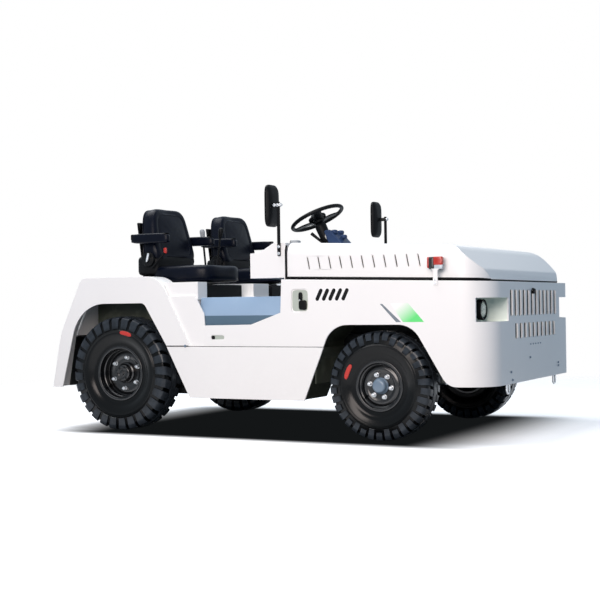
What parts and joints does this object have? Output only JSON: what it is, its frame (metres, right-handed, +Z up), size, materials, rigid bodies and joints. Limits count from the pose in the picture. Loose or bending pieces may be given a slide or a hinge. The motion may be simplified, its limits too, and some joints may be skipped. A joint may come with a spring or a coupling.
{
  "type": "airport baggage tow tractor",
  "caption": "Open two-seat tow tractor with a front engine hood, steered front wheels, fendered rear wheels and a rear coupler.",
  "frame": {"origin": "on the ground under the middle of the whole machine", "axes": "+X forwards, +Y to the driver's left, +Z up"},
  "size_m": [2.915, 1.54, 1.4025],
  "materials": {
    "body_white": "semi-gloss white enamel",
    "chassis_black": "satin black chassis paint",
    "cast_iron": "painted casting",
    "bare_steel": "zinc plated",
    "tyre_rubber": "matte moulded rubber",
    "rim_black": "gloss black",
    "seat_vinyl": "grained black vinyl",
    "black_plastic": "moulded",
    "lamp_lens": "clear lens",
    "signal_lens": "red and amber lens"
  },
  "bodies": {
    "chassis": {"front_shell": "body_white", "sills": "body_white", "fender_left": "body_white", "fender_right": "body_white", "rear_deck": "body_white", "seat_platform": "body_white", "floor_pan": "body_white", "cowl": "body_white", "lamp_boxes": "body_white", "frame": "chassis_black", "tail_plate": "chassis_black", "arch_liners": "chassis_black", "rear_axle": "chassis_black", "front_axle": "chassis_black", "engine_block": "cast_iron", "coupler": "cast_iron", "tow_loops": "bare_steel", "seat_cushion_left": "seat_vinyl", "seat_cushion_right": "seat_vinyl", "seat_back_left": "seat_vinyl", "seat_back_right": "seat_vinyl", "seat_frame_left": "black_plastic", "seat_frame_right": "black_plastic", "steering_column": "black_plastic", "instrument_pod": "black_plastic", "mirrors": "black_plastic", "levers": "black_plastic", "pedals": "black_plastic", "headlamps": "lamp_lens", "signal_lamps": "signal_lens", "tail_lamps": "signal_lens"},
    "wheel_rear_left": {"tyre_rear_left": "tyre_rubber", "rim_rear_left": "rim_black"},
    "wheel_rear_right": {"tyre_rear_right": "tyre_rubber", "rim_rear_right": "rim_black"},
    "wheel_front_left": {"tyre_front_left": "tyre_rubber", "rim_front_left": "rim_black"},
    "wheel_front_right": {"tyre_front_right": "tyre_rubber", "rim_front_right": "rim_black"},
    "knuckle_left": {"knuckle_left": "chassis_black"},
    "knuckle_right": {"knuckle_right": "chassis_black"},
    "tie_rod": {"tie_rod": "bare_steel"},
    "steering_wheel": {"steering_wheel": "black_plastic"},
    "hood": {"hood": "body_white"},
    "coupler_pin": {"coupler_pin": "bare_steel"}
  },
  "joints": [
    {"name": "wheel_rear_left_spin", "type": "hinge", "parent": "chassis", "child": "wheel_rear_left", "pos_m": [-0.8675, 0.655, 0.338], "axis": [0, 1, 0], "continuous": true},
    {"name": "wheel_rear_right_spin", "type": "hinge", "parent": "chassis", "child": "wheel_rear_right", "pos_m": [-0.8675, -0.655, 0.338], "axis": [0, 1, 0], "continuous": true},
    {"name": "knuckle_left_steer", "type": "hinge", "parent": "chassis", "child": "knuckle_left", "pos_m": [0.8225, 0.55, 0.294], "axis": [0, 0, 1], "range_deg": [-35, 35]},
    {"name": "knuckle_right_steer", "type": "hinge", "parent": "chassis", "child": "knuckle_right", "pos_m": [0.8225, -0.55, 0.294], "axis": [0, 0, 1], "range_deg": [-35, 35]},
    {"name": "tie_rod_swing", "type": "hinge", "parent": "knuckle_left", "child": "tie_rod", "pos_m": [0.6925, 0.55, 0.227], "axis": [0, 0, 1], "range_deg": [-35, 35]},
    {"name": "wheel_front_left_spin", "type": "hinge", "parent": "knuckle_left", "child": "wheel_front_left", "pos_m": [0.8225, 0.6615, 0.294], "axis": [0, 1, 0], "continuous": true},
    {"name": "wheel_front_right_spin", "type": "hinge", "parent": "knuckle_right", "child": "wheel_front_right", "pos_m": [0.8225, -0.6615, 0.294], "axis": [0, 1, 0], "continuous": true},
    {"name": "steering_wheel_turn", "type": "hinge", "parent": "chassis", "child": "steering_wheel", "pos_m": [-0.1125, 0.382, 1.29], "axis": [-0.4226, 0, 0.9063], "range_deg": [-420, 420]},
    {"name": "hood_open", "type": "hinge", "parent": "chassis", "child": "hood", "pos_m": [0.2615, 0, 1.07], "axis": [0, -1, 0], "range_deg": [0, 55]},
    {"name": "coupler_pin_lift", "type": "slide", "parent": "chassis", "child": "coupler_pin", "axis": [0, 0, 1], "range_m": [0, 0.16]}
  ],
  "couplings": [
    {"joint": "knuckle_right_steer", "follows": "knuckle_left_steer", "ratio": 1},
    {"joint": "tie_rod_swing", "follows": "knuckle_left_steer", "ratio": -1},
    {"joint": "steering_wheel_turn", "follows": "knuckle_left_steer", "ratio": 12}
  ]
}
